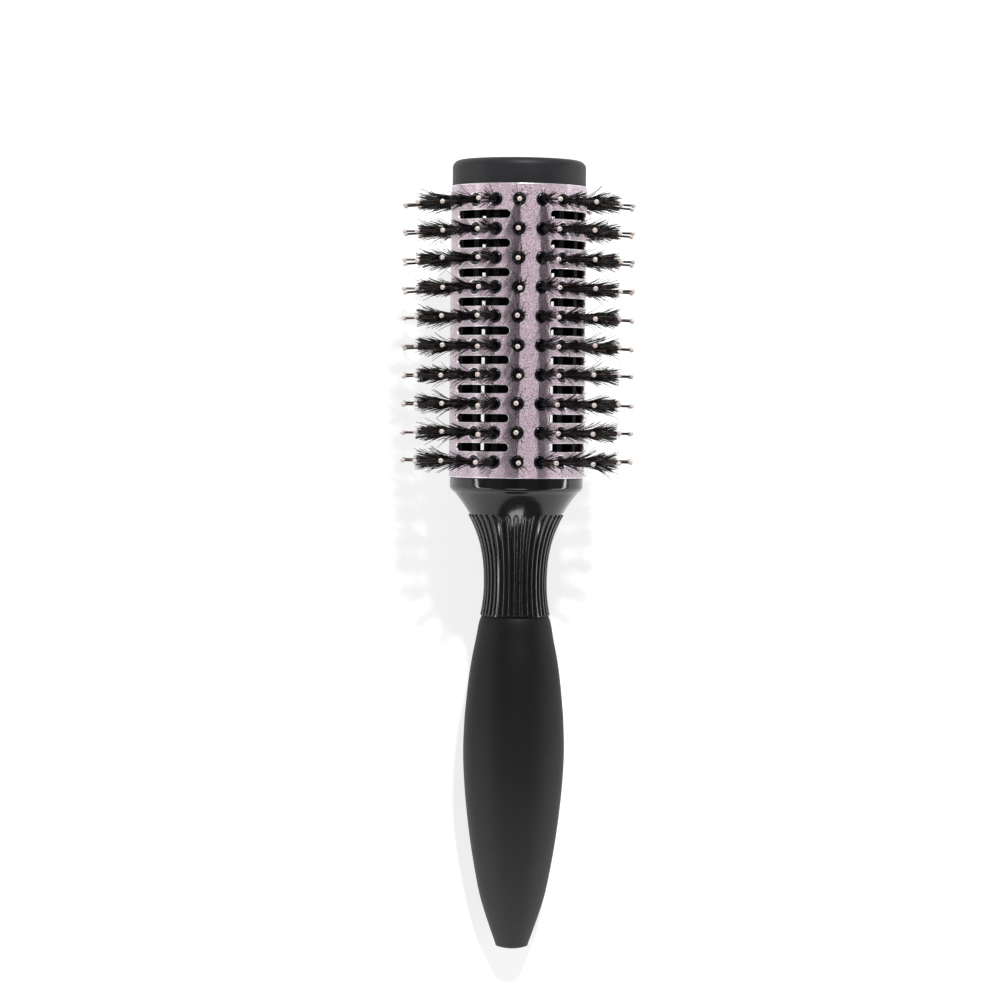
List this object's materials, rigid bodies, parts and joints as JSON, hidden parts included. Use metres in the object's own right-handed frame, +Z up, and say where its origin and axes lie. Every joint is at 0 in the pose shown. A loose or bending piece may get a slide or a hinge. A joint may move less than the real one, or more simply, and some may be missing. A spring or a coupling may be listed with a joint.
{
  "type": "round hair brush",
  "caption": "Vented round styling brush with a painted metal barrel, mixed boar tufts and ball-tipped pins, a ribbed neck and a soft-touch handle, lying at rest.",
  "frame": {"origin": "on the surface the brush lies on, under the middle of its bounding box", "axes": "+Y runs from the handle towards the tip, level with the surface; +Z is up; +X is to the right seen from above with the tip away"},
  "size_m": [0.0732, 0.2438, 0.0858],
  "materials": {
    "barrel_paint": "satin",
    "cap_plastic": "satin",
    "core_plastic": "satin",
    "neck_plastic": "gloss",
    "grip_rubber": "matte",
    "strip_plastic": "satin",
    "boar": "satin",
    "pin_nylon": "satin"
  },
  "bodies": {
    "root": {"barrel": "barrel_paint", "tip_cap": "cap_plastic", "core": "core_plastic", "ribbed_neck": "neck_plastic", "handle_grip": "grip_rubber", "bristle_strip_01": "strip_plastic", "bristle_strip_02": "strip_plastic", "bristle_strip_03": "strip_plastic", "bristle_strip_04": "strip_plastic", "bristle_strip_05": "strip_plastic", "bristle_strip_06": "strip_plastic", "bristle_strip_07": "strip_plastic", "bristle_strip_08": "strip_plastic", "bristle_strip_09": "strip_plastic", "bristle_strip_10": "strip_plastic", "bristle_strip_11": "strip_plastic", "bristle_strip_12": "strip_plastic", "bristle_strip_13": "strip_plastic", "bristle_strip_14": "strip_plastic", "bristle_strip_15": "strip_plastic", "bristle_strip_16": "strip_plastic", "bristle_strip_17": "strip_plastic", "bristle_strip_18": "strip_plastic", "boar_tufts_01": "boar", "boar_tufts_02": "boar", "boar_tufts_03": "boar", "boar_tufts_04": "boar", "boar_tufts_05": "boar", "boar_tufts_06": "boar", "boar_tufts_07": "boar", "boar_tufts_08": "boar", "boar_tufts_09": "boar", "boar_tufts_10": "boar", "boar_tufts_11": "boar", "boar_tufts_12": "boar", "boar_tufts_13": "boar", "boar_tufts_14": "boar", "boar_tufts_15": "boar", "boar_tufts_16": "boar", "boar_tufts_17": "boar", "boar_tufts_18": "boar", "nylon_pins_01": "pin_nylon", "nylon_pins_02": "pin_nylon", "nylon_pins_03": "pin_nylon", "nylon_pins_04": "pin_nylon", "nylon_pins_05": "pin_nylon", "nylon_pins_06": "pin_nylon", "nylon_pins_07": "pin_nylon", "nylon_pins_08": "pin_nylon", "nylon_pins_09": "pin_nylon", "nylon_pins_10": "pin_nylon", "nylon_pins_11": "pin_nylon", "nylon_pins_12": "pin_nylon", "nylon_pins_13": "pin_nylon", "nylon_pins_14": "pin_nylon", "nylon_pins_15": "pin_nylon", "nylon_pins_16": "pin_nylon", "nylon_pins_17": "pin_nylon", "nylon_pins_18": "pin_nylon"}
  },
  "joints": []
}
